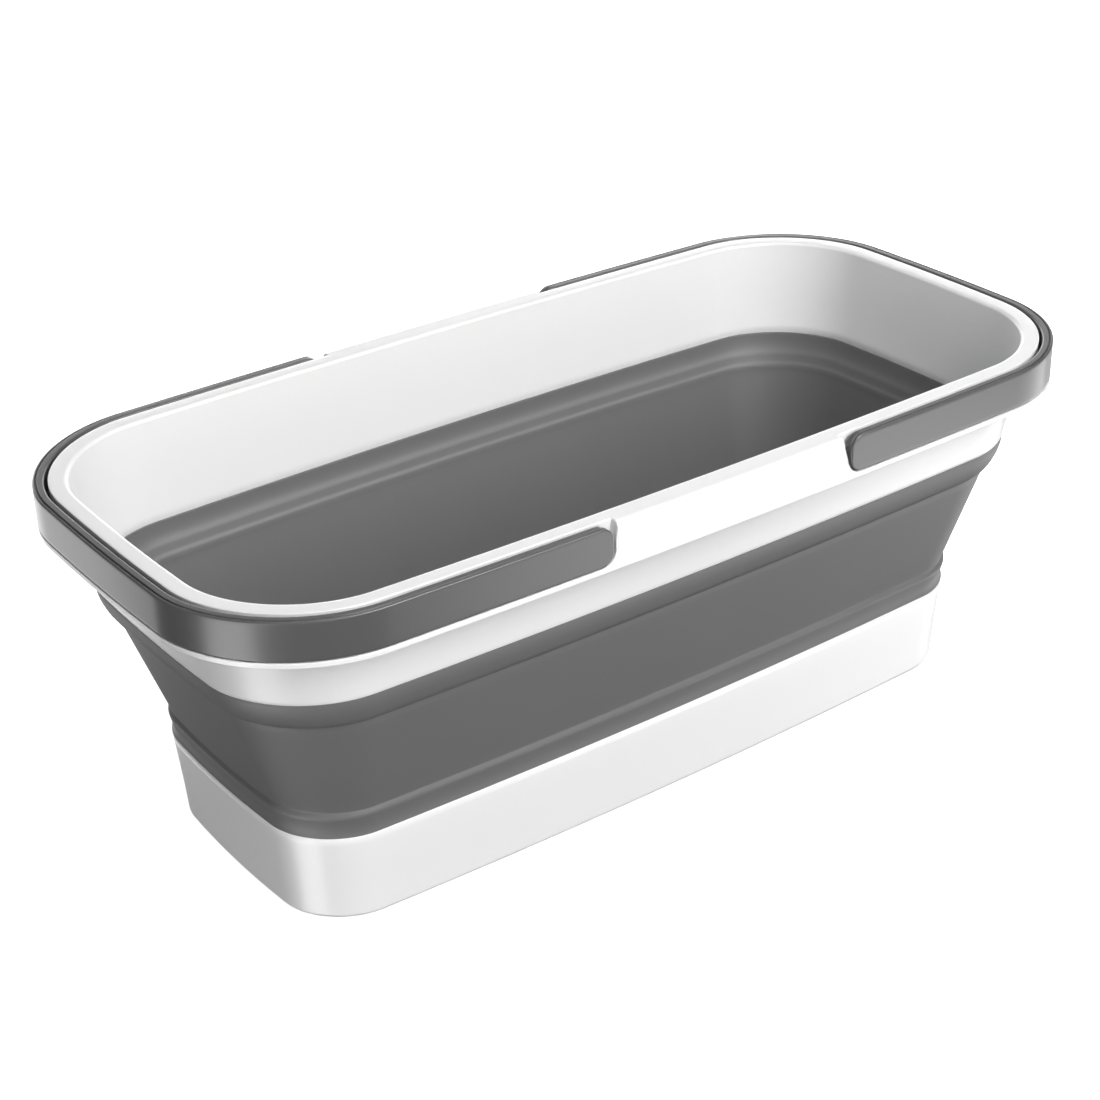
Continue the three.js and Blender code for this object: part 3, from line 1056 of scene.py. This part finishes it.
class BATHTUB_OT_stage(bpy.types.Operator):
    """Pale floor, soft studio lights and the camera"""

    bl_idname = "bathtub.stage"
    bl_label = "Stage"

    def execute(self, context):
        scene = context.scene
        scene.view_settings.view_transform = "Standard"
        scene.view_settings.look = "None"
        world = bpy.data.worlds.new("studio")
        world.use_nodes = True
        sky = world.node_tree.nodes["Background"]
        sky.inputs["Color"].default_value = linear("#ffffff")
        sky.inputs["Strength"].default_value = 0.13
        scene.world = world
        # A white sweep: a round floor that turns up into a wall far away. It shows only to the
        # camera, so it sends no light back to the tub.
        floor_reach, bend, wall_top = 3.0, 1.5, 6.0
        flat = [(reach, 0.0) for reach in (0.5, 1.0, 2.0, floor_reach)]
        bends = np.linspace(0.1, np.pi / 2, 12)
        curved = [(floor_reach + bend * math.sin(t), bend - bend * math.cos(t)) for t in bends]
        upright = [(floor_reach + bend, 2 * bend), (floor_reach + bend, wall_top)]
        sweep = turned(np.concatenate([flat, curved, upright]), (0.0, 0.0), 96)
        paint = bpy.data.materials.new("matt white sweep")
        paint.use_nodes = True
        coat = paint.node_tree.nodes["Principled BSDF"]
        coat.inputs["Base Color"].default_value = linear("#fafafa")
        coat.inputs["Roughness"].default_value = 0.95
        coat.inputs["Specular IOR Level"].default_value = 0.0
        coat.inputs["Emission Color"].default_value = linear("#ffffff")
        coat.inputs["Emission Strength"].default_value = 0.8
        floor = skin("studio_floor", sweep, paint, closed=False)
        for ray in ("diffuse", "glossy", "transmission", "shadow"):
            setattr(floor, f"visible_{ray}", False)
        softbox("front_key", -84, 36, 1.7, (1.0, 1.0), 8.9)
        softbox("rear_softbox", 66, 6, 1.7, (2.6, 0.7), 5.6)
        softbox("top_softbox", 0, 89, 1.6, (0.6, 0.9), 3.6)
        softbox("low_fill", -112, 4, 1.5, (1.2, 0.3), 2.8)
        softbox("left_fill", 200, -8, 1.5, (0.9, 0.5), 3.7)
        softbox("right_card", -31, -27, 1.5, (1.85, 0.5), 3.8, gloss_only=True)
        softbox("right_end_card", 25, -27, 1.5, (1.2, 0.7), 1.0, gloss_only=True)
        softbox("corner_strip", 190, -32, 1.5, (0.7, 0.75), 5.6, gloss_only=True)
        softbox("back_card", 96, -27, 1.5, (1.6, 0.4), 2.3, gloss_only=True)
        softbox("ridge_card", -60, 45, 1.5, (1.0, 0.5), 9.0, gloss_only=True)
        studio_camera()
        return {"FINISHED"}


class BATHTUB_PT_builder(bpy.types.Panel):
    """Lists the tub's sizes, finishes and the steps that build it"""

    bl_idname = "BATHTUB_PT_builder"
    bl_label = "Folding Pet Bathtub"
    bl_space_type = "VIEW_3D"
    bl_region_type = "UI"
    bl_category = "Bathtub"

    def draw(self, context):
        for group in (context.scene.bathtub_shape, context.scene.bathtub_finish):
            column = self.layout.column(align=True)
            for name in group.__annotations__:
                column.prop(group, name)
        column = self.layout.column(align=True)
        for step in STEPS:
            column.operator(step.bl_idname)


STEPS = (
    BATHTUB_OT_stage,
    BATHTUB_OT_base_tray,
    BATHTUB_OT_folding_wall,
    BATHTUB_OT_rim,
    BATHTUB_OT_handles,
    BATHTUB_OT_pivot_pins,
    BATHTUB_OT_drain,
    BATHTUB_OT_foot_pads,
)
CLASSES = (BathtubShape, BathtubFinish, *STEPS, BATHTUB_PT_builder)


def register():
    for cls in CLASSES:
        bpy.utils.register_class(cls)
    bpy.types.Scene.bathtub_shape = bpy.props.PointerProperty(type=BathtubShape)
    bpy.types.Scene.bathtub_finish = bpy.props.PointerProperty(type=BathtubFinish)


def unregister():
    del bpy.types.Scene.bathtub_finish
    del bpy.types.Scene.bathtub_shape
    for cls in reversed(CLASSES):
        bpy.utils.unregister_class(cls)


def main():
    """Builds every piece in order."""
    register()
    for step in STEPS:
        group, name = step.bl_idname.split(".")
        getattr(getattr(bpy.ops, group), name)()


if __name__ == "__main__":
    main()
